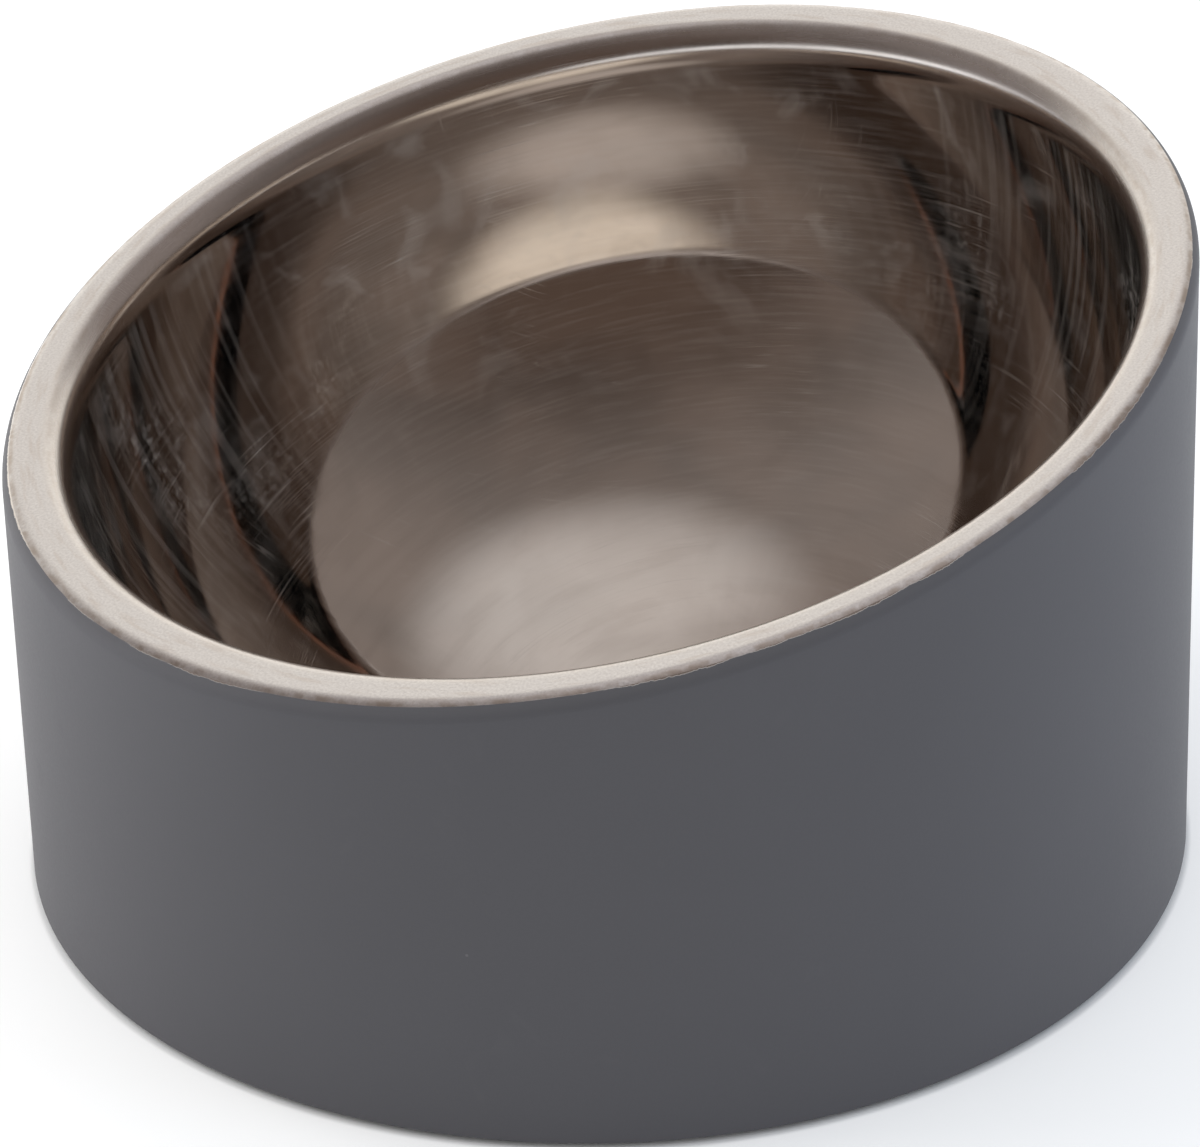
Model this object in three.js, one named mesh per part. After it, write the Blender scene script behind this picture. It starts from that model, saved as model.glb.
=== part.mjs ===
// A slanted pet bowl. A polished round bowl hangs by its rim in an upright round shell, and the rim leans,
// so that one side is low to eat from. A base pan closes the shell below, and a rubber ring under the pan
// keeps the bowl from sliding. Millimetres, +Z up. The origin is on the floor, under the middle of the
// shell. The rim is low towards -Y and high towards +Y.
import * as THREE from 'three';

// Shell, the upright outer wall
const SHELL_DIAMETER = 180;
const LOW_SIDE_HEIGHT = 67.5; // floor to the top of the rim where it is lowest
const HIGH_SIDE_HEIGHT = 106.5; // floor to the top of the rim where it is highest
const SHELL_SHEET = 1;
const SHELL_FOOT_ROUND = 0.5; // round on the shell's bottom edge
const SHOULDER_RADIUS = 2.6; // round from the shell's outer face over to the flat of the rim
const SHOULDER_BARE_SHARE = 0.39; // share of that round that belongs to the bare rim

// Bowl, drawn round about an axis square to the rim
const BOWL_SHEET = 0.9;
const BOWL_FLOOR_DIAMETER = 22;
const BOWL_WALL_FULLNESS = 2.095; // curve of the wall: 2 is a plain ellipse, and more is squarer
const BOWL_TO_PAN_GAP = 1.2; // lowest point of the bowl's underside to the base pan
const RIM_WIDTH = 4.8; // from the shell's outer face to where the rim starts to roll down into the bowl
const LIP_BEND_REACH = 2.8; // inside of that bend, measured across
const LIP_BEND_DROP = 5.6; // inside of that bend, measured down

// Base pan, a disc with a turned-up skirt
const PAN_SHEET = 0.8;
const PAN_BEND_RADIUS = 2; // inside of the bend between disc and skirt
const PAN_SKIRT_STRAIGHT = 5; // skirt above the bend

// Anti-slip ring under the base pan
const RING_THICKNESS = 2.5;
const RING_WIDTH = 10;
const RING_PROUD = 0.8; // how far the ring stands below the shell's bottom edge
const RING_CHAMFER = 0.6;

// Clearances
const RIM_SEAT_GAP = 0.3; // rim's outer edge to the shell's top edge
const PAN_FIT = 0.3; // pan skirt to the shell's inner face
const RING_FIT = 0.3; // ring to the shell's inner face
const ROUND_LIMIT = 0.95; // most of a sheet's thickness that an edge round may take

// Facets
const TURN_STEPS = 72; // steps round every ring
const WALL_STEPS = 14; // steps from the bowl's floor up to its roll
const BEND_STEPS = 5; // steps in a bend
const ROUND_STEPS = 3; // steps in a small edge round

// Sizes that follow from those above
const shellRadius = SHELL_DIAMETER / 2;
const shellInnerRadius = shellRadius - SHELL_SHEET;
const rimHeight = (LOW_SIDE_HEIGHT + HIGH_SIDE_HEIGHT) / 2;
const lean = Math.atan((HIGH_SIDE_HEIGHT - LOW_SIDE_HEIGHT) / SHELL_DIAMETER);
const shellFootRound = Math.min(SHELL_FOOT_ROUND, SHELL_SHEET * ROUND_LIMIT);
const shoulderCentre = [shellRadius - SHOULDER_RADIUS, -SHOULDER_RADIUS];
const rimEdgeQuarter = 1 - SHOULDER_BARE_SHARE;
const shellEdgeQuarter = rimEdgeQuarter - RIM_SEAT_GAP / ((SHOULDER_RADIUS - SHELL_SHEET) * (Math.PI / 2));
const rollReach = LIP_BEND_REACH + BOWL_SHEET;
const rollDrop = LIP_BEND_DROP + BOWL_SHEET;
const rollCentreRadius = shellRadius - RIM_WIDTH;
const bowlMouthRadius = rollCentreRadius - rollReach;
const bowlFloorRadius = BOWL_FLOOR_DIAMETER / 2;
const wallReach = bowlMouthRadius - bowlFloorRadius;
const panFloor = RING_THICKNESS;
const panTop = panFloor + PAN_SHEET;
const wallDrop = bowlWallDrop();

const steel = { color: 0xb9b3ac, metalness: 1, roughness: 0.12 };
const powderCoat = { color: 0x56565b, metalness: 0, roughness: 0.6 };
const bareSteel = { color: 0x9a9a98, metalness: 1, roughness: 0.35 };
const rubber = { color: 0x141414, metalness: 0, roughness: 0.85 };

// Depth of the curved wall below the roll. It puts the lowest point of the leaning bowl's underside, a full
// ellipse in section, at its gap above the pan.
function bowlWallDrop() {
  const outerReach = wallReach + BOWL_SHEET;
  const room = rimHeight - panTop - BOWL_TO_PAN_GAP;
  const hang = room - rollDrop * Math.cos(lean) - bowlFloorRadius * Math.sin(lean);
  const power = BOWL_WALL_FULLNESS / (BOWL_WALL_FULLNESS - 1);
  const outerDrop = (hang ** power - (outerReach * Math.sin(lean)) ** power) ** (1 / power);
  return outerDrop / Math.cos(lean) - BOWL_SHEET;
}

// One full turn of points at angles that every ring shares
function turn(pointAt) {
  const points = [];
  for (let step = 0; step < TURN_STEPS; step += 1) {
    const angle = (step / TURN_STEPS) * Math.PI * 2;
    points.push(pointAt(Math.cos(angle), Math.sin(angle)));
  }
  return points;
}

// A point given square to the rim: across it, up its slope and below its plane
function rimPoint(across, upslope, depth) {
  const y = upslope * Math.cos(lean) + depth * Math.sin(lean);
  const z = rimHeight + upslope * Math.sin(lean) - depth * Math.cos(lean);
  return new THREE.Vector3(across, y, z);
}

// A ring round the bowl's own axis, at a depth square to the rim
function bowlRing(radius, depth) {
  return turn((cos, sin) => rimPoint(radius * cos, radius * sin, depth));
}

// A ring on an upright cylinder, cut parallel to the rim at a depth square to it
function slantedRing(radius, depth) {
  const middle = rimHeight - depth / Math.cos(lean);
  const rise = radius * Math.tan(lean);
  return turn((cos, sin) => new THREE.Vector3(radius * cos, radius * sin, middle + rise * sin));
}

// A ring on an upright cylinder, level with the floor
function levelRing(radius, height) {
  return turn((cos, sin) => new THREE.Vector3(radius * cos, radius * sin, height));
}

// Points [radius, height] along an arc, angles in quarter turns from the outward direction. A fullness
// over 2 swells the arc out towards its corner.
function arc(radius, height, reach, rise, fromQuarter, toQuarter, steps, fullness = 2) {
  const swollen = (share) => Math.sign(share) * Math.abs(share) ** (2 / fullness);
  const points = [];
  for (let step = 0; step <= steps; step += 1) {
    const angle = THREE.MathUtils.lerp(fromQuarter, toQuarter, step / steps) * (Math.PI / 2);
    points.push([radius + reach * swollen(Math.cos(angle)), height + rise * swollen(Math.sin(angle))]);
  }
  return points;
}

// A closed surface through rings of equal length. A ring of one point is a pole, and rings without poles
// join up from the last to the first.
function loft(rings) {
  const positions = [];
  const starts = [];
  for (const ring of rings) {
    starts.push(positions.length / 3);
    ring.forEach((point) => positions.push(point.x, point.y, point.z));
  }
  const vertex = (ring, step) => starts[ring] + (rings[ring].length === 1 ? 0 : step % TURN_STEPS);
  const hasPoles = rings[0].length === 1;
  const joins = hasPoles ? rings.length - 1 : rings.length;
  const indices = [];
  for (let ring = 0; ring < joins; ring += 1) {
    const next = (ring + 1) % rings.length;
    for (let step = 0; step < TURN_STEPS; step += 1) {
      const here = [vertex(ring, step), vertex(ring, step + 1)];
      const there = [vertex(next, step), vertex(next, step + 1)];
      if (here[0] !== here[1]) indices.push(here[0], here[1], there[1]);
      if (there[0] !== there[1]) indices.push(here[0], there[1], there[0]);
    }
  }
  const geometry = new THREE.BufferGeometry();
  geometry.setAttribute('position', new THREE.Float32BufferAttribute(positions, 3));
  geometry.setIndex(indices);
  geometry.computeVertexNormals();
  return geometry;
}

// A turned piece from its section, a closed list of [radius, height]
function turned(section) {
  const points = [...section, section[0]].map(([radius, height]) => new THREE.Vector2(radius, height));
  return new THREE.LatheGeometry(points, TURN_STEPS).rotateX(Math.PI / 2);
}

function piece(name, geometry, finish) {
  const mesh = new THREE.Mesh(geometry, new THREE.MeshStandardMaterial(finish));
  mesh.name = name;
  return mesh;
}

// A round over the top of the shell, at one distance from the middle of the shoulder
function shoulder(radius, fromQuarter, toQuarter) {
  const points = arc(...shoulderCentre, radius, radius, fromQuarter, toQuarter, ROUND_STEPS);
  return points.map(([reach, height]) => slantedRing(reach, -height));
}

// Round bowl with a rolled lip and a flat rim, whose outer edge bends down towards the upright shell
function innerBowl() {
  const floorDepth = rollDrop + wallDrop;
  const outerReach = wallReach + BOWL_SHEET;
  const outerDrop = wallDrop + BOWL_SHEET;
  const wallCentre = [bowlFloorRadius, -rollDrop];
  const rollCentre = [rollCentreRadius, -rollDrop];
  const underWall = arc(...wallCentre, outerReach, outerDrop, -1, 0, WALL_STEPS, BOWL_WALL_FULLNESS);
  const underRoll = arc(...rollCentre, -LIP_BEND_REACH, LIP_BEND_DROP, 0, 1, BEND_STEPS);
  const roll = arc(...rollCentre, -rollReach, rollDrop, 1, 0, BEND_STEPS);
  const wall = arc(...wallCentre, wallReach, wallDrop, 0, -1, WALL_STEPS, BOWL_WALL_FULLNESS);
  const roundRing = ([radius, height]) => bowlRing(radius, -height);
  const rings = [
    [rimPoint(0, 0, floorDepth + BOWL_SHEET)],
    ...underWall.map(roundRing),
    ...underRoll.slice(1).map(roundRing),
    ...shoulder(SHOULDER_RADIUS - BOWL_SHEET, 1, rimEdgeQuarter),
    ...shoulder(SHOULDER_RADIUS, rimEdgeQuarter, 1),
    ...roll.map(roundRing),
    ...wall.slice(1).map(roundRing),
    [rimPoint(0, 0, floorDepth)],
  ];
  return piece('inner_bowl', loft(rings), steel);
}

// Upright tube, level below and rounded over above, up to the edge of the slanted rim
function outerShell() {
  const footCentre = [shellRadius - shellFootRound, RING_PROUD + shellFootRound];
  const foot = arc(...footCentre, shellFootRound, shellFootRound, -1, 0, ROUND_STEPS);
  const rings = [
    levelRing(shellInnerRadius, RING_PROUD),
    ...foot.map(([radius, height]) => levelRing(radius, height)),
    ...shoulder(SHOULDER_RADIUS, 0, shellEdgeQuarter),
    ...shoulder(SHOULDER_RADIUS - SHELL_SHEET, shellEdgeQuarter, 0),
  ];
  return piece('outer_shell', loft(rings), powderCoat);
}

// Disc that closes the shell, with a skirt turned up inside the wall
function basePan() {
  const skirtRadius = shellInnerRadius - PAN_FIT;
  const bend = PAN_BEND_RADIUS + PAN_SHEET;
  const bendCentre = skirtRadius - bend;
  const skirtTop = panFloor + bend + PAN_SKIRT_STRAIGHT;
  const section = [
    [0, panFloor],
    ...arc(bendCentre, panFloor + bend, bend, bend, -1, 0, BEND_STEPS),
    [skirtRadius, skirtTop],
    [skirtRadius - PAN_SHEET, skirtTop],
    ...arc(bendCentre, panFloor + bend, PAN_BEND_RADIUS, PAN_BEND_RADIUS, 0, -1, BEND_STEPS),
    [0, panTop],
  ];
  return piece('base_pan', turned(section), bareSteel);
}

// Rubber ring bonded flat under the pan, with chamfered lower edges
function antiSlipRing() {
  const outer = shellInnerRadius - RING_FIT;
  const inner = outer - RING_WIDTH;
  const section = [
    [inner + RING_CHAMFER, 0],
    [outer - RING_CHAMFER, 0],
    [outer, RING_CHAMFER],
    [outer, RING_THICKNESS],
    [inner, RING_THICKNESS],
    [inner, RING_CHAMFER],
  ];
  return piece('anti_slip_ring', turned(section), rubber);
}

const bowl = new THREE.Group();
bowl.name = 'slanted_pet_bowl';
bowl.add(innerBowl(), outerShell(), basePan(), antiSlipRing());

export default bowl;
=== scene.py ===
# The looks of a slanted pet bowl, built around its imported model. A polished round bowl is welded by its
# leaning satin rim into an upright powder-coated shell, and a base pan with a rubber ring closes it below.
# Metres, +Z up. The rim is low towards -Y and high towards +Y.
import math

import bmesh
import bpy
from mathutils import Matrix, Vector


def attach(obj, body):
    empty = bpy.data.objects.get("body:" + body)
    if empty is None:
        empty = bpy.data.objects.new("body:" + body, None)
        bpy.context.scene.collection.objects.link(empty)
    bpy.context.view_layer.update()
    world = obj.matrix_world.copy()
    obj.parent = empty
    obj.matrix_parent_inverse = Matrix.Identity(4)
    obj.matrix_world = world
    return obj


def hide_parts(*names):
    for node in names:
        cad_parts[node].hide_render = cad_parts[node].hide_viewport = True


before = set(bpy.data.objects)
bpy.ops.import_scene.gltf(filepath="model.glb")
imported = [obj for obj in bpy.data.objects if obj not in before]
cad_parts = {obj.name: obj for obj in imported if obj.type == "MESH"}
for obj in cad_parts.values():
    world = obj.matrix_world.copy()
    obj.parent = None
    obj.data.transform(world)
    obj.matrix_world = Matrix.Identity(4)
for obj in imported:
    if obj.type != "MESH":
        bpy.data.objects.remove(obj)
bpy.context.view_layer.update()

MM = 0.001

# Shell, the upright outer wall
SHELL_RADIUS = 90 * MM
LOW_SIDE_HEIGHT = 67.5 * MM
HIGH_SIDE_HEIGHT = 106.5 * MM
SHELL_SHEET = 1 * MM
SHELL_FOOT_ROUND = 0.5 * MM
SHOULDER_RADIUS = 2.6 * MM  # round from the shell's outer face over to the flat of the rim
SHOULDER_BARE_SHARE = 0.39  # share of that round that belongs to the bare rim
RIM_HEIGHT = (LOW_SIDE_HEIGHT + HIGH_SIDE_HEIGHT) / 2
LEAN = math.atan((HIGH_SIDE_HEIGHT - LOW_SIDE_HEIGHT) / (2 * SHELL_RADIUS))

# Bowl, round about an axis square to the rim
BOWL_SHEET = 0.9 * MM
BOWL_FLOOR_RADIUS = 11 * MM
BOWL_WALL_FULLNESS = 2.095  # curve of the wall: 2 is a plain ellipse, and more is squarer
BOWL_DEPTH = 79.208 * MM
RIM_WIDTH = 4.8 * MM  # from the shell's outer face to where the rim starts to roll down into the bowl
LIP_BEND_REACH = 2.8 * MM
LIP_BEND_DROP = 5.6 * MM
ROLL_REACH = LIP_BEND_REACH + BOWL_SHEET
ROLL_DROP = LIP_BEND_DROP + BOWL_SHEET
ROLL_CENTRE = SHELL_RADIUS - RIM_WIDTH
BOWL_MOUTH = ROLL_CENTRE - ROLL_REACH
WALL_REACH = BOWL_MOUTH - BOWL_FLOOR_RADIUS
WALL_DROP = BOWL_DEPTH - ROLL_DROP
RIM_DISH = 0.045  # slope of the flat of the rim, down towards the bowl
RIM_EDGE_QUARTER = 1 - SHOULDER_BARE_SHARE  # where the bare rim ends on the shoulder, in quarter turns
RIM_EDGE_DEPTH = SHOULDER_RADIUS * (1 - math.sin(RIM_EDGE_QUARTER * math.pi / 2))
SCUFFED_SIDES = (0.56, 0.83)  # level direction, across the bowl, of the walls that are scuffed most

# Rubber ring and base pan
RING_THICKNESS = 2.5 * MM
RING_WIDTH = 10 * MM
RING_PROUD = 0.8 * MM
RING_EDGE_ROUND = 0.6 * MM
PAN_SHEET = 0.8 * MM
PAN_BEND_RADIUS = 2 * MM
PAN_SKIRT_STRAIGHT = 5 * MM
SIDE_FIT = 0.3 * MM

# Fineness of the meshes
TURN_STEPS = 320
WALL_STEPS = 64
UNDER_STEPS = 24
BEND_STEPS = 12
LIP_STEPS = 28
EDGE_STEPS = 6
SEAM_WELD = 0.001 * MM
SHARP_ANGLE = math.radians(35)

# Camera, taken from the outline of the bowl in a frame 1200 wide and 1147 high
FOCAL_LENGTH = 180
SENSOR_WIDTH = 36
CAMERA_DISTANCE = 919.4 * MM
CAMERA_AZIMUTH = math.radians(55.77)
CAMERA_ELEVATION = math.radians(28.94)
CAMERA_ROLL = math.radians(-1.76)
CAMERA_TARGET_HEIGHT = 44.8 * MM
CAMERA_TARGET_SIDE = -0.28 * MM

# Colours of the finishes
MIRROR_CLEAN = (0.715, 0.66, 0.615, 1)
MIRROR_SMUDGED = (0.61, 0.555, 0.51, 1)
SATIN_LIGHT = (0.92, 0.895, 0.90, 1)
SATIN_DARK = (0.57, 0.545, 0.55, 1)
SATIN_STAIN = (0.60, 0.53, 0.49, 1)
# painted reflection: tan colour for the rim's rounded outer edge
SATIN_SHOULDER_REFLECTION = (0.46, 0.39, 0.345, 1)
PAINT_DARK = (0.062, 0.0605, 0.069, 1)
PAINT_LIGHT = (0.080, 0.079, 0.090, 1)
# painted light: lighter paint for the shoulder's round just below the bare rim
PAINT_SHOULDER_LIGHT = (0.17, 0.17, 0.18, 1)
PAINT_EDGE_STEEL = (0.80, 0.76, 0.73, 1)
SHEET_BRIGHT = (0.60, 0.59, 0.57, 1)
SHEET_DULL = (0.44, 0.43, 0.42, 1)
SHEET_SPOT = (0.25, 0.24, 0.23, 1)
RUBBER_BLACK = (0.014, 0.014, 0.014, 1)
RUBBER_DUSTY = (0.05, 0.048, 0.045, 1)
BLACK = (0, 0, 0, 1)
WHITE = (1, 1, 1, 1)

# Floor and lamps
FLOOR_COLOUR = (0.92, 0.92, 0.92, 1)
FLOOR_REACH = 1.5
FLOOR_LIFT = (0.25, 0.25, 0.25, 1)  # light added to the floor where it is seen, so that it shows white
FLOOR_LIFT_FADE = 1 * MM  # the lift starts at the shell's foot, so that the gap under the foot stays dark
FLOOR_SEEN_BY = ("Camera", "Glossy", "Transmission")
WORLD_LEVEL = 0.77
LAMP_DISTANCE = 0.7
LAMP_SIZE = 0.6

# Surroundings that the polish reflects. A glow is given by azimuth, elevation, outer and inner angle in
# degrees, and an arch by azimuth, half width and height in degrees and the share of them that is full
DOME_RADIUS = 2
ROOM_DARK = (0.058, 0.039, 0.03, 1)
ROOM_LIGHT = (0.1, 0.069, 0.054, 1)
ROOM_PATCH_SIZE = 0.55
CEILING_COLOUR = (0.44, 0.44, 0.44, 1)
CEILING_GLOW = (183, 80, 34, 0)
SPILL_COLOUR = (0.166, 0.159, 0.156, 1)
SPILL_GLOW = (182, 14, 175, 75)
BACKDROP_COLOUR = (0.91, 0.9, 0.823, 1)
BACKDROP_ARCH = (-177, 73, 66, 0.51)
DIM_COLOUR = (0.02, 0.012, 0.009, 1)
DIM_GLOW = (-5, 24, 35, 9)
DIM_SHARE = 0.65
STRIPE_EDGE_COLOUR = (0.2, 0.105, 0.075, 1)
STRIPE_EDGE_GLOW = (7, 28, 8.8, 8.3)
STRIPE_GLOW = (5, 28, 8.6, 8)


class Wire:
    """A node's output. Arithmetic on it adds Math nodes to the same tree."""

    def __init__(self, socket):
        self.socket = socket

    def __add__(self, other):
        return maths("ADD", self, other)

    def __radd__(self, other):
        return maths("ADD", other, self)

    def __sub__(self, other):
        return maths("SUBTRACT", self, other)

    def __rsub__(self, other):
        return maths("SUBTRACT", other, self)

    def __mul__(self, other):
        return maths("MULTIPLY", self, other)

    def __rmul__(self, other):
        return maths("MULTIPLY", other, self)

    def __truediv__(self, other):
        return maths("DIVIDE", self, other)

    def __rtruediv__(self, other):
        return maths("DIVIDE", other, self)

    def __gt__(self, other):
        return maths("GREATER_THAN", self, other)


class Nodes:
    """A node tree, and the one way in which nodes are added to it."""

    def __init__(self, tree):
        self.tree = tree

    def add(self, kind, settings=None, sockets=None, output=0):
        """Sets the settings first, then the values or links of the sockets, and returns one output."""
        node = self.tree.nodes.new(kind)
        for name, value in (settings or {}).items():
            setattr(node, name, value)
        for key, value in (sockets or {}).items():
            if isinstance(value, Wire):
                self.tree.links.new(value.socket, node.inputs[key])
            else:
                node.inputs[key].default_value = value
        return Wire(node.outputs[output]) if node.outputs else node


def maths(operation, *terms):
    tree = next(term.socket.id_data for term in terms if isinstance(term, Wire))
    return Nodes(tree).add("ShaderNodeMath", {"operation": operation}, dict(enumerate(terms)))


def split(vector):
    nodes = Nodes(vector.socket.id_data)
    first = nodes.add("ShaderNodeSeparateXYZ", sockets={"Vector": vector})
    return [Wire(output) for output in first.socket.node.outputs]


def joined(nodes, x, y, z):
    return nodes.add("ShaderNodeCombineXYZ", sockets={"X": x, "Y": y, "Z": z})


def between(value, low, high, smooth=True):
    """0 below low, 1 above high, and a soft step between."""
    kind = "SMOOTHSTEP" if smooth else "LINEAR"
    sockets = {"Value": value, "From Min": low, "From Max": high}
    return Nodes(value.socket.id_data).add("ShaderNodeMapRange", {"interpolation_type": kind}, sockets)


# Shapes: sections are lists of (radius, height), and Geometry Nodes turn them

def swollen(share, fullness):
    return math.copysign(abs(share) ** (2 / fullness), share)


def arc(radius, height, reach, rise, from_quarter, to_quarter, steps, fullness=2):
    """Points of an arc, with angles in quarter turns from the outward direction."""
    points = []
    for step in range(steps + 1):
        quarter = from_quarter + (to_quarter - from_quarter) * step / steps
        angle = quarter * math.pi / 2
        out = reach * swollen(math.cos(angle), fullness)
        up = rise * swollen(math.sin(angle), fullness)
        points.append((radius + out, height + up))
    return points


def straight(start, end, steps):
    """Points between two points, without the ends."""
    shares = [step / steps for step in range(1, steps)]
    return [tuple(a + (b - a) * share for a, b in zip(start, end)) for share in shares]


def shoulder(radius, from_quarter, to_quarter):
    """A round over the top of the shell, at one distance from the middle of the shoulder."""
    centre = (SHELL_RADIUS - SHOULDER_RADIUS, -SHOULDER_RADIUS)
    return arc(*centre, radius, radius, from_quarter, to_quarter, EDGE_STEPS)


def bowl_section():
    """From the middle of the floor up the wall, over the rim and back under it. Heights are from the rim."""
    floor_middle = (0, -BOWL_DEPTH)
    centre = (BOWL_FLOOR_RADIUS, -ROLL_DROP)
    wall = arc(*centre, WALL_REACH, WALL_DROP, -1, 0, WALL_STEPS, BOWL_WALL_FULLNESS)
    roll = arc(ROLL_CENTRE, -ROLL_DROP, -ROLL_REACH, ROLL_DROP, 0, 1, LIP_STEPS)
    edge = shoulder(SHOULDER_RADIUS, 1, RIM_EDGE_QUARTER)
    under_edge = shoulder(SHOULDER_RADIUS - BOWL_SHEET, RIM_EDGE_QUARTER, 1)
    under_roll = arc(ROLL_CENTRE, -ROLL_DROP, -LIP_BEND_REACH, LIP_BEND_DROP, 1, 0, BEND_STEPS)
    under_reach = WALL_REACH + BOWL_SHEET
    under_drop = WALL_DROP + BOWL_SHEET
    under_wall = arc(*centre, under_reach, under_drop, 0, -1, UNDER_STEPS, BOWL_WALL_FULLNESS)
    under_middle = (0, -BOWL_DEPTH - BOWL_SHEET)
    return [
        floor_middle, *straight(floor_middle, wall[0], EDGE_STEPS),
        *wall, *roll[1:], *straight(roll[-1], edge[0], EDGE_STEPS),
        *edge, *under_edge, *straight(under_edge[-1], under_roll[0], EDGE_STEPS),
        *under_roll, *under_wall[1:], *straight(under_wall[-1], under_middle, EDGE_STEPS), under_middle,
    ]


def shell_section():
    """A loop up the inner face and down the outer one. Heights of the slanted top are those at the axis."""
    foot_centre = (SHELL_RADIUS - SHELL_FOOT_ROUND, RING_PROUD + SHELL_FOOT_ROUND)
    foot = arc(*foot_centre, SHELL_FOOT_ROUND, SHELL_FOOT_ROUND, 0, -1, EDGE_STEPS)
    inner_foot = (SHELL_RADIUS - SHELL_SHEET, RING_PROUD)
    inner_top = upright(shoulder(SHOULDER_RADIUS - SHELL_SHEET, 0, RIM_EDGE_QUARTER))
    outer_top = upright(shoulder(SHOULDER_RADIUS, RIM_EDGE_QUARTER, 0))
    return [
        inner_foot, *straight(inner_foot, inner_top[0], UNDER_STEPS), *inner_top,
        *outer_top, *straight(outer_top[-1], foot[0], WALL_STEPS), *foot,
    ]


def upright(points):
    """Points given square to the rim, with their heights measured upright from the floor."""
    return [(radius, RIM_HEIGHT + height / math.cos(LEAN)) for radius, height in points]


def pan_section():
    """From the middle of the pan's upper face out, over the skirt and back along the underside."""
    skirt = SHELL_RADIUS - SHELL_SHEET - SIDE_FIT
    bend = PAN_BEND_RADIUS + PAN_SHEET
    centre = (skirt - bend, RING_THICKNESS + bend)
    skirt_top = RING_THICKNESS + bend + PAN_SKIRT_STRAIGHT
    inner_bend = arc(*centre, PAN_BEND_RADIUS, PAN_BEND_RADIUS, -1, 0, BEND_STEPS)
    outer_bend = arc(*centre, bend, bend, 0, -1, BEND_STEPS)
    upper_middle = (0, RING_THICKNESS + PAN_SHEET)
    under_middle = (0, RING_THICKNESS)
    return [
        upper_middle, *straight(upper_middle, inner_bend[0], UNDER_STEPS),
        *inner_bend, (skirt - PAN_SHEET, skirt_top), (skirt, skirt_top),
        *outer_bend, *straight(outer_bend[-1], under_middle, UNDER_STEPS), under_middle,
    ]


def ring_section():
    """A loop round the rubber, with rounded lower edges."""
    outer = SHELL_RADIUS - SHELL_SHEET - SIDE_FIT
    inner = outer - RING_WIDTH
    rounds = (RING_EDGE_ROUND, RING_EDGE_ROUND)
    lower_outer = arc(outer - RING_EDGE_ROUND, RING_EDGE_ROUND, *rounds, 0, -1, EDGE_STEPS)
    lower_inner = arc(inner + RING_EDGE_ROUND, RING_EDGE_ROUND, *rounds, -1, -2, EDGE_STEPS)
    underside = straight(lower_outer[-1], lower_inner[0], BEND_STEPS)
    return [(inner, RING_THICKNESS), (outer, RING_THICKNESS), *lower_outer, *underside, *lower_inner]


def turning_tree(name, sizes, place):
    """A tree that turns a section round the upright axis, then moves each point as place says."""
    tree = bpy.data.node_groups.new(name, "GeometryNodeTree")
    tree.interface.new_socket("Section", in_out="INPUT", socket_type="NodeSocketGeometry")
    tree.interface.new_socket("Turn Steps", in_out="INPUT", socket_type="NodeSocketInt")
    tree.interface.new_socket("Path Radius", in_out="INPUT", socket_type="NodeSocketFloat")
    tree.interface.new_socket("Finish", in_out="INPUT", socket_type="NodeSocketMaterial")
    for size in sizes:
        tree.interface.new_socket(size, in_out="INPUT", socket_type="NodeSocketFloat")
    tree.interface.new_socket("Piece", in_out="OUTPUT", socket_type="NodeSocketGeometry")
    nodes = Nodes(tree)
    first = nodes.add("NodeGroupInput")
    given = {output.name: Wire(output) for output in first.socket.node.outputs}
    circle = {"Resolution": given["Turn Steps"], "Radius": given["Path Radius"]}
    path = nodes.add("GeometryNodeCurvePrimitiveCircle", {"mode": "RADIUS"}, circle)
    path = nodes.add("GeometryNodeSetCurveNormal", {"mode": "Z_UP"}, {"Curve": path})
    profile = nodes.add("GeometryNodeMeshToCurve", sockets={"Mesh": given["Section"]})
    sides = {"Curve": path, "Profile Curve": profile}
    turned = nodes.add("GeometryNodeCurveToMesh", sockets=sides)
    closed = nodes.add("GeometryNodeMergeByDistance", sockets={"Geometry": turned, "Distance": SEAM_WELD})
    position = nodes.add("GeometryNodeInputPosition")
    placed = {"Geometry": closed, "Position": place(nodes, given, *split(position))}
    shape = nodes.add("GeometryNodeSetPosition", sockets=placed)
    smooth = {"Geometry": shape, "Shade Smooth": True}
    shape = nodes.add("GeometryNodeSetShadeSmooth", {"domain": "FACE"}, smooth)
    sharp = nodes.add("GeometryNodeInputMeshEdgeAngle") > SHARP_ANGLE
    creased = {"Geometry": shape, "Selection": sharp, "Shade Smooth": False}
    shape = nodes.add("GeometryNodeSetShadeSmooth", {"domain": "EDGE"}, creased)
    shape = nodes.add("GeometryNodeRealizeInstances", sockets={"Geometry": shape})
    finished = {"Geometry": shape, "Material": given["Finish"]}
    shape = nodes.add("GeometryNodeSetMaterial", sockets=finished)
    nodes.add("NodeGroupOutput", sockets={"Piece": shape})
    return tree


def leaned_place(nodes, given, x, y, z):
    """Leans the bowl with its rim. Beyond the roll, the rim is trimmed to the upright shell."""
    lean, rim_height = given["Lean"], given["Rim Height"]
    cosine, sine = maths("COSINE", lean), maths("SINE", lean)
    radius = maths("SQRT", x * x + y * y)
    trim = between(radius, given["Round Within"], given["Upright Beyond"], smooth=False)
    leaned_y = y * cosine - z * sine
    leaned_z = rim_height + y * sine + z * cosine
    upright_z = rim_height + z / cosine + y * sine / cosine
    placed_y = leaned_y + (y - leaned_y) * trim
    placed_z = leaned_z + (upright_z - leaned_z) * trim
    return joined(nodes, x, placed_y, placed_z)


def cut_place(nodes, given, x, y, z):
    """Keeps the foot level and slants the rings above it, up to a top that is parallel to the rim."""
    slant = between(z, given["Foot Height"], given["Top Height"], smooth=False)
    return joined(nodes, x, y, z + y * maths("TANGENT", given["Lean"]) * slant)


def level_place(nodes, given, x, y, z):
    """Leaves a turned piece as it is."""
    return joined(nodes, x, y, z)


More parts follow.
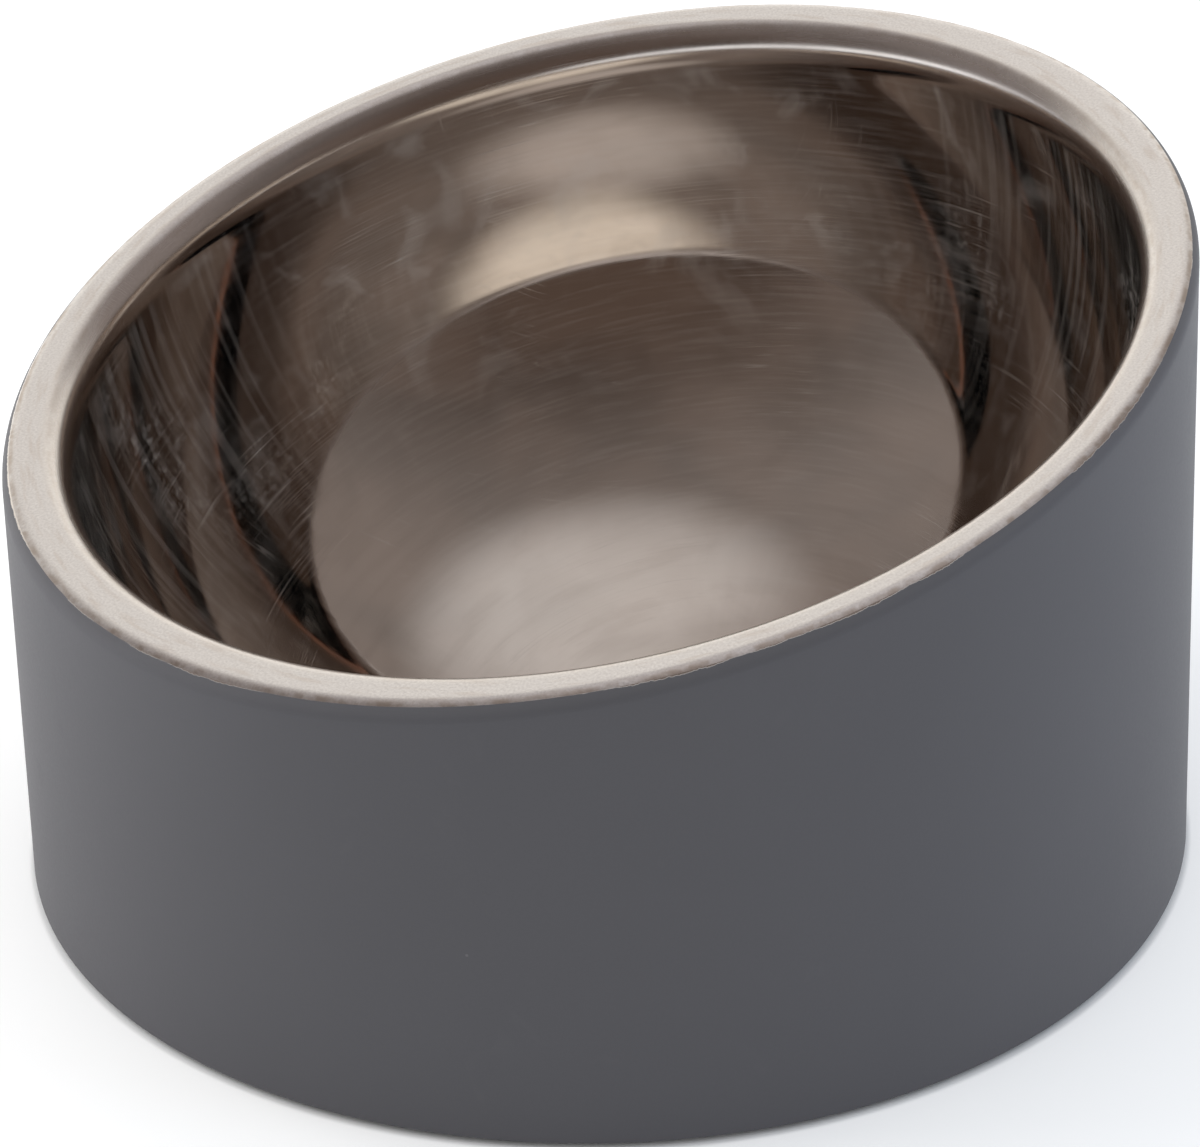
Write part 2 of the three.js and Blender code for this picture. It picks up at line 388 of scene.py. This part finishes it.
def section_mesh(name, section, is_loop):
    """The section as a chain of edges, in the plane that the turning tree takes it from."""
    mesh = bpy.data.meshes.new(name)
    points = [(radius - SHELL_RADIUS, -height, 0) for radius, height in section]
    links = [(step, step + 1) for step in range(len(points) - 1)]
    if is_loop:
        links.append((len(points) - 1, 0))
    mesh.from_pydata(points, links, [])
    return mesh


def turned_piece(name, section, is_loop, tree, sizes, finish):
    """Runs a turning tree on a section and keeps the result as a plain mesh."""
    piece = bpy.data.objects.new(name, section_mesh(name, section, is_loop))
    bpy.context.scene.collection.objects.link(piece)
    values = {"Turn Steps": TURN_STEPS, "Path Radius": SHELL_RADIUS, "Finish": finish, **sizes}
    modifier = piece.modifiers.new("turning", "NODES")
    modifier.node_group = tree
    for item in tree.interface.items_tree:
        if item.name in values:
            modifier[item.identifier] = values[item.name]
    depsgraph = bpy.context.evaluated_depsgraph_get()
    shape = bpy.data.meshes.new_from_object(piece.evaluated_get(depsgraph))
    piece.modifiers.remove(modifier)
    section_data = piece.data
    piece.data = shape
    bpy.data.meshes.remove(section_data)
    shape.name = name
    return piece


def place_piece(piece, node):
    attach(piece, "root")
    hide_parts(node)


# Finishes

def new_finish(name):
    material = bpy.data.materials.new(name)
    material.use_nodes = True
    material.node_tree.nodes.clear()
    return material, Nodes(material.node_tree)


def finish_with(nodes, shader):
    nodes.add("ShaderNodeOutputMaterial", sockets={"Surface": shader})


def own_position(nodes):
    return nodes.add("ShaderNodeTexCoord", output="Object")


def rim_position(nodes):
    """Position square to the rim: across, up the slope, and height above the rim's plane."""
    sockets = {"Vector": own_position(nodes), "Location": (0, 0, RIM_HEIGHT), "Rotation": (LEAN, 0, 0)}
    return nodes.add("ShaderNodeMapping", {"vector_type": "TEXTURE"}, sockets)


def mottle(vector, size, detail=2, distortion=0):
    """Soft noise from 0 to 1, with spots of about that size."""
    sockets = {"Vector": vector, "Scale": 1 / size, "Detail": detail, "Distortion": distortion}
    return Nodes(vector.socket.id_data).add("ShaderNodeTexNoise", sockets=sockets)


def stripes(nodes, turn_x, turn_y, along, round_size, along_size, detail=2):
    """Noise drawn out round the piece or along its section. Round sizes are in radii."""
    vector = joined(nodes, turn_x / round_size, turn_y / round_size, along / along_size)
    return nodes.add("ShaderNodeTexNoise", sockets={"Vector": vector, "Scale": 1, "Detail": detail})


def hairline(value, width):
    """1 along the line where a noise crosses its middle, and 0 away from it."""
    return between(maths("ABSOLUTE", value - 0.5), width, 0)


def blended(nodes, factor, first, second):
    """A colour between two."""
    sockets = {"Factor": factor, 6: first, 7: second}
    return nodes.add("ShaderNodeMix", {"data_type": "RGBA"}, sockets, output=2)


def relief(nodes, height):
    """A normal from a height in metres."""
    return nodes.add("ShaderNodeBump", sockets={"Height": height, "Distance": 1, "Strength": 1})


def bowl_steel():
    """Steel that is a mirror inside the bowl, softly polished on the roll and satin on the rim's flat."""
    material, nodes = new_finish("bowl_steel")
    place = rim_position(nodes)
    x, y, height = split(place)
    depth = height * -1
    radius = maths("SQRT", x * x + y * y)
    turn_x, turn_y = x / radius, y / radius
    along = depth - radius
    land = between(radius, ROLL_CENTRE - 3 * MM, ROLL_CENTRE + 1.1 * MM)
    roll = between(depth, ROLL_DROP, 0.2 * MM)
    shoulder_round = between(depth, 0.02 * MM, 0.25 * MM) * land
    inside = between(depth, ROLL_DROP - 2 * MM, ROLL_DROP + 1 * MM)

    smudges = between(mottle(place, 24 * MM, 4, 0.6), 0.46, 0.72)
    swirls = between(stripes(nodes, turn_x, turn_y, along, 0.45, 5 * MM, 4), 0.45, 0.72)
    patches = between(mottle(place, 26 * MM, 2), 0.48, 0.64)
    turning = stripes(nodes, turn_x, turn_y, along, 0.9, 0.5 * MM, 3)
    hairs = hairline(stripes(nodes, turn_x, turn_y, along, 1.1, 0.8 * MM, 1), 0.016) * patches
    scratches = slanted_lines(nodes, place, 0.9, 26 * MM, 0.7 * MM, 0.012)
    scratches = scratches * between(mottle(place, 17 * MM, 3, 0.5), 0.54, 0.66)
    marks = maths("MAXIMUM", hairs, scratches * 0.6)
    wall = between(depth, BOWL_DEPTH * 0.8, BOWL_DEPTH * 0.35) * inside
    across = maths("ABSOLUTE", turn_x * SCUFFED_SIDES[0] + turn_y * SCUFFED_SIDES[1])
    sides = between(across, 0.55, 0.9)
    clusters = between(mottle(place, 26 * MM, 1), 0.56, 0.68) * wall * sides
    scuffs = between(mottle(place, 1.5 * MM, 6, 0.3), 0.5, 0.7) * clusters
    runs = between(stripes(nodes, turn_x, turn_y, along, 0.018, 60 * MM, 3), 0.46, 0.7) * wall * sides
    dust = nodes.add("ShaderNodeTexVoronoi", sockets={"Vector": place, "Scale": 1 / (3.2 * MM)})
    dust = between(dust, 0.05, 0.03) * patches * inside
    smears = between(mottle(place, 11 * MM, 3, 0.8), 0.52, 0.72) * wall * (1 - sides * 0.5)
    haze = between(stripes(nodes, turn_x, turn_y, along, 0.16, 0.9 * MM, 5), 0.42, 0.78) * (1 - sides)
    drawing = stripes(nodes, turn_x, turn_y, along, 0.07, 45 * MM, 2)

    grain = mottle(place, 0.4 * MM, 3)
    streaks = stripes(nodes, turn_x, turn_y, along, 0.05, 0.35 * MM, 3)
    stain = between(stripes(nodes, turn_x, turn_y, along, 0.1, 1.2 * MM, 4), 0.5, 0.7)
    # Painted reflection: a mottled tan darkening on the rim's rounded outer edge stands in for the darker
    # reflection that this round catches
    shoulder_painted_reflection = between(mottle(place, 3.5 * MM, 4, 0.5), 0.35, 0.65) * shoulder_round

    clean = blended(nodes, smudges * 0.6 + swirls * 0.4, MIRROR_CLEAN, MIRROR_SMUDGED)
    satin = blended(nodes, grain, SATIN_LIGHT, SATIN_DARK)
    satin = blended(nodes, stain * 0.4, satin, SATIN_STAIN)
    satin = blended(nodes, shoulder_painted_reflection * 0.8, satin, SATIN_SHOULDER_REFLECTION)
    colour = blended(nodes, maths("MAXIMUM", land, roll * 0.7), clean, satin)

    veil = runs * 0.08 + smears * 0.16 + scuffs * 0.2 + marks * 0.16 + dust * 0.2 + haze * 0.06
    veil = veil * inside
    mirror_roughness = 0.035 + smudges * 0.04 + swirls * 0.03 + marks * 0.12 + runs * 0.05 + smears * 0.03
    satin_roughness = 0.30 + grain * 0.10
    roughness = (mirror_roughness + roll * 0.2) * (1 - land) + satin_roughness * land

    mirror_relief = (drawing * 0.008 + turning * 0.0006 - marks * 0.0015) * inside
    satin_relief = (grain * 0.018 + streaks * 0.006) * land
    dish = maths("MAXIMUM", radius, ROLL_CENTRE - 2 * MM) * RIM_DISH
    shader = nodes.add("ShaderNodeBsdfPrincipled", sockets={
        "Base Color": colour, "Metallic": 1 - veil, "Roughness": roughness,
        "Normal": relief(nodes, (mirror_relief + satin_relief) * MM + dish),
    })
    finish_with(nodes, shader)
    return material


def slanted_lines(nodes, place, turn, length, width, fineness):
    """Straight hairlines across the floor and walls, turned from the X axis."""
    sockets = {"Vector": place, "Rotation": (0, 0, turn), "Scale": (length, width, length)}
    vector = nodes.add("ShaderNodeMapping", {"vector_type": "TEXTURE"}, sockets)
    noise = nodes.add("ShaderNodeTexNoise", sockets={"Vector": vector, "Scale": 1, "Detail": 0})
    return hairline(noise, fineness)


def shell_powder_coat():
    """Matte grey powder coat with a fine grain, which stops in an uneven line below the bare steel rim."""
    material, nodes = new_finish("shell_powder_coat")
    place = own_position(nodes)
    depth = split(rim_position(nodes))[2] * -1

    grain = mottle(place, 0.5 * MM, 3)
    peel = mottle(place, 1.6 * MM, 2)
    cloud = mottle(place, 45 * MM, 3, 0.5)
    rubs = between(mottle(place, 14 * MM, 4, 1.2), 0.62, 0.75)
    dots = nodes.add("ShaderNodeTexVoronoi", sockets={"Vector": place, "Scale": 1 / (14 * MM)})
    specks = between(dots, 0.022, 0.012)

    worn = between(mottle(place, 22 * MM, 2), 0.46, 0.6)
    wander = mottle(place, 2 * MM, 4) * 0.6 + mottle(place, 0.5 * MM, 2) * 0.4
    edge = RIM_EDGE_DEPTH + (worn * wander * 0.38 + wander * 0.12 - 0.09) * MM
    bare = between(depth - edge, 0.05 * MM, -0.05 * MM)

    paint = blended(nodes, cloud * 0.5 + grain * 0.5, PAINT_DARK, PAINT_LIGHT)
    # Painted light: the paint is lightened over the shoulder's round just below the bare rim, against the
    # shade there
    painted_shoulder_light = between(depth, 2.4 * MM, 0.9 * MM)
    paint = blended(nodes, rubs * 0.06 + specks * 0.5 + painted_shoulder_light * 0.28, paint, PAINT_SHOULDER_LIGHT)
    colour = blended(nodes, bare, paint, PAINT_EDGE_STEEL)
    roughness = (0.46 + grain * 0.12 + rubs * 0.04) * (1 - bare) + 0.26 * bare
    shader = nodes.add("ShaderNodeBsdfPrincipled", sockets={
        "Base Color": colour, "Metallic": bare, "Roughness": roughness,
        "Normal": relief(nodes, (grain * 0.012 + peel * 0.010 - bare * 0.03) * MM),
    })
    finish_with(nodes, shader)
    return material


def pan_rolled_steel():
    """Plain sheet with the grain of the rolling mill along X, dulled in patches."""
    material, nodes = new_finish("pan_rolled_steel")
    place = own_position(nodes)
    x, y, z = split(place)
    vector = joined(nodes, x / (18 * MM), y / (0.4 * MM), z / (0.4 * MM))
    rolled = nodes.add("ShaderNodeTexNoise", sockets={"Vector": vector, "Scale": 1, "Detail": 3})
    dull = between(mottle(place, 20 * MM, 4, 0.5), 0.45, 0.7)
    spots = between(mottle(place, 2.5 * MM, 3), 0.68, 0.75)
    tone = rolled * 0.6 + dull * 0.4
    colour = blended(nodes, tone, SHEET_BRIGHT, SHEET_DULL)
    colour = blended(nodes, spots * 0.5, colour, SHEET_SPOT)
    shader = nodes.add("ShaderNodeBsdfPrincipled", sockets={
        "Base Color": colour, "Metallic": 1, "Roughness": 0.26 + rolled * 0.14 + dull * 0.12,
        "Normal": relief(nodes, (rolled * 0.006 + dull * 0.004) * MM),
    })
    finish_with(nodes, shader)
    return material


def ring_rubber():
    """Black moulded rubber with a fine grain and a little dust."""
    material, nodes = new_finish("ring_rubber")
    place = own_position(nodes)
    grain = mottle(place, 0.6 * MM, 3)
    dust = between(mottle(place, 8 * MM, 5, 0.8), 0.5, 0.75)
    colour = blended(nodes, dust * 0.5 + grain * 0.2, RUBBER_BLACK, RUBBER_DUSTY)
    shader = nodes.add("ShaderNodeBsdfPrincipled", sockets={
        "Base Color": colour, "Roughness": 0.62 + grain * 0.15 + dust * 0.15,
        "Normal": relief(nodes, grain * 0.03 * MM),
    })
    finish_with(nodes, shader)
    return material


# Pieces

def make_bowl():
    sizes = {
        "Lean": LEAN, "Rim Height": RIM_HEIGHT,
        "Round Within": ROLL_CENTRE, "Upright Beyond": SHELL_RADIUS - SHOULDER_RADIUS,
    }
    tree = turning_tree("leaning_bowl", sizes, leaned_place)
    piece = turned_piece("polished_bowl", bowl_section(), False, tree, sizes, bowl_steel())
    place_piece(piece, "inner_bowl")


def make_shell():
    foot_height = RING_PROUD + SHELL_FOOT_ROUND
    top_height = RIM_HEIGHT - SHOULDER_RADIUS / math.cos(LEAN)
    sizes = {"Lean": LEAN, "Foot Height": foot_height, "Top Height": top_height}
    tree = turning_tree("slant_cut_shell", sizes, cut_place)
    piece = turned_piece("painted_shell", shell_section(), True, tree, sizes, shell_powder_coat())
    place_piece(piece, "outer_shell")


def make_base():
    sizes = {}
    tree = turning_tree("level_turning", sizes, level_place)
    pan = turned_piece("pressed_base_pan", pan_section(), False, tree, sizes, pan_rolled_steel())
    place_piece(pan, "base_pan")
    ring = turned_piece("rubber_foot_ring", ring_section(), True, tree, sizes, ring_rubber())
    place_piece(ring, "anti_slip_ring")


# Stage

def stage_object(name, mesh, material):
    mesh.materials.append(material)
    thing = bpy.data.objects.new(name, mesh)
    bpy.context.scene.collection.objects.link(thing)
    return thing


def make_floor():
    material, nodes = new_finish("pale_floor")
    diffuse = nodes.add("ShaderNodeBsdfDiffuse", sockets={"Color": FLOOR_COLOUR})
    seen = sum(nodes.add("ShaderNodeLightPath", output=f"Is {ray} Ray") for ray in FLOOR_SEEN_BY)
    x, y = split(own_position(nodes))[:2]
    beside = between(maths("SQRT", x * x + y * y), SHELL_RADIUS, SHELL_RADIUS + FLOOR_LIFT_FADE)
    lift = blended(nodes, seen * beside, BLACK, FLOOR_LIFT)
    lift = nodes.add("ShaderNodeEmission", sockets={"Color": lift, "Strength": 1})
    finish_with(nodes, nodes.add("ShaderNodeAddShader", sockets={0: diffuse, 1: lift}))
    mesh = bpy.data.meshes.new("floor")
    corners = [(-FLOOR_REACH, -FLOOR_REACH, 0), (FLOOR_REACH, -FLOOR_REACH, 0)]
    corners += [(FLOOR_REACH, FLOOR_REACH, 0), (-FLOOR_REACH, FLOOR_REACH, 0)]
    mesh.from_pydata(corners, [], [(0, 1, 2, 3)])
    stage_object("floor", mesh, material)


def heading(azimuth, elevation):
    """A direction from the bowl, with angles in radians from -Y and from level."""
    level = math.cos(elevation)
    return Vector((math.sin(azimuth) * level, -math.cos(azimuth) * level, math.sin(elevation)))


def stage_direction(azimuth, elevation):
    """A direction in degrees. Azimuth 0 is towards the camera, and grows to the camera's right."""
    return heading(CAMERA_AZIMUTH + math.radians(azimuth), math.radians(elevation))


def cosine_to(nodes, towards, azimuth, elevation):
    sockets = {0: towards, 1: stage_direction(azimuth, elevation)}
    return nodes.add("ShaderNodeVectorMath", {"operation": "DOT_PRODUCT"}, sockets, output=1)


def glow(nodes, towards, azimuth, elevation, outer, inner):
    """1 within the inner angle round a direction, and 0 outside the outer one."""
    cosine = cosine_to(nodes, towards, azimuth, elevation)
    return between(cosine, math.cos(math.radians(outer)), math.cos(math.radians(inner)))


def arch(nodes, towards, azimuth, half_width, height, full):
    """A round-topped card that stands on the floor, full to a share of its size and faded at its edge."""
    x, y, z = split(towards)
    level = nodes.add("ShaderNodeVectorMath", {"operation": "NORMALIZE"}, {0: joined(nodes, x, y, 0)})
    aside = maths("ARCCOSINE", cosine_to(nodes, level, azimuth, 0)) / math.radians(half_width)
    rise = maths("ARCSINE", z) / math.radians(height)
    return between(maths("SQRT", aside * aside + rise * rise), 1, full)


def added(nodes, colour, factor, light):
    """A colour with a share of a light's colour added."""
    sockets = {"Factor": factor, 6: colour, 7: light}
    return nodes.add("ShaderNodeMix", {"data_type": "RGBA", "blend_type": "ADD"}, sockets, output=2)


def make_surroundings():
    """A dome that only reflections see, with a dim room, a pale ceiling and a bright backdrop."""
    material, nodes = new_finish("studio_surroundings")
    towards = nodes.add("ShaderNodeVectorMath", {"operation": "NORMALIZE"}, {0: own_position(nodes)})
    patches = between(mottle(towards, ROOM_PATCH_SIZE, 2, 0.4), 0.3, 0.7)
    colour = blended(nodes, patches, ROOM_DARK, ROOM_LIGHT)
    colour = added(nodes, colour, glow(nodes, towards, *CEILING_GLOW), CEILING_COLOUR)
    colour = added(nodes, colour, glow(nodes, towards, *SPILL_GLOW), SPILL_COLOUR)
    colour = added(nodes, colour, arch(nodes, towards, *BACKDROP_ARCH), BACKDROP_COLOUR)
    # Second reflections, on the side walls, see a dimmer room with a dark spot that has a copper edge
    second = nodes.add("ShaderNodeLightPath", output="Glossy Depth") > 1.5
    colour = blended(nodes, glow(nodes, towards, *DIM_GLOW) * second * DIM_SHARE, colour, DIM_COLOUR)
    colour = blended(nodes, glow(nodes, towards, *STRIPE_EDGE_GLOW) * second, colour, STRIPE_EDGE_COLOUR)
    colour = blended(nodes, glow(nodes, towards, *STRIPE_GLOW) * second, colour, BLACK)
    finish_with(nodes, nodes.add("ShaderNodeEmission", sockets={"Color": colour, "Strength": 1}))
    material.cycles.emission_sampling = "NONE"
    shape = bmesh.new()
    bmesh.ops.create_uvsphere(shape, u_segments=64, v_segments=32, radius=DOME_RADIUS)
    mesh = bpy.data.meshes.new("surroundings")
    shape.to_mesh(mesh)
    shape.free()
    dome = stage_object("surroundings", mesh, material)
    for ray in ("camera", "diffuse", "transmission", "volume_scatter", "shadow"):
        setattr(dome, "visible_" + ray, False)


def make_world():
    world = bpy.data.worlds.new("studio")
    world.use_nodes = True
    world.node_tree.nodes.clear()
    nodes = Nodes(world.node_tree)
    background = nodes.add("ShaderNodeBackground", sockets={"Color": WHITE, "Strength": WORLD_LEVEL})
    nodes.add("ShaderNodeOutputWorld", sockets={"Surface": background})
    bpy.context.scene.world = world


def make_lamp(name, azimuth, elevation, watts, colour):
    """A soft lamp that the mirror doesn't show."""
    data = bpy.data.lights.new(name, "AREA")
    data.size = LAMP_SIZE
    data.energy = watts
    data.color = colour
    lamp = bpy.data.objects.new(name, data)
    towards = stage_direction(azimuth, elevation)
    lamp.location = towards * LAMP_DISTANCE
    lamp.rotation_euler = towards.to_track_quat("Z", "Y").to_euler()
    lamp.visible_glossy = False
    bpy.context.scene.collection.objects.link(lamp)


def make_camera():
    data = bpy.data.cameras.new("camera")
    data.lens = FOCAL_LENGTH
    data.sensor_width = SENSOR_WIDTH
    data.sensor_fit = "HORIZONTAL"
    data.clip_end = 10
    back = heading(CAMERA_AZIMUTH, CAMERA_ELEVATION)
    side = Vector((math.cos(CAMERA_AZIMUTH), math.sin(CAMERA_AZIMUTH), 0))
    top = back.cross(side)
    right = math.cos(CAMERA_ROLL) * side + math.sin(CAMERA_ROLL) * top
    up = math.cos(CAMERA_ROLL) * top - math.sin(CAMERA_ROLL) * side
    eye = Vector((0, 0, CAMERA_TARGET_HEIGHT)) + CAMERA_TARGET_SIDE * side + CAMERA_DISTANCE * back
    camera = bpy.data.objects.new("camera", data)
    camera.matrix_world = Matrix.Translation(eye) @ Matrix((right, up, back)).transposed().to_4x4()
    bpy.context.scene.collection.objects.link(camera)
    bpy.context.scene.camera = camera


make_camera()
make_bowl()
make_shell()
make_base()
make_floor()
make_surroundings()
make_world()
make_lamp("left_lamp", azimuth=-105, elevation=25, watts=2.7, colour=(1, 1, 1))
make_lamp("right_lamp", azimuth=85, elevation=25, watts=1.5, colour=(0.62, 0.78, 1))
bpy.context.scene.view_settings.view_transform = "Standard"
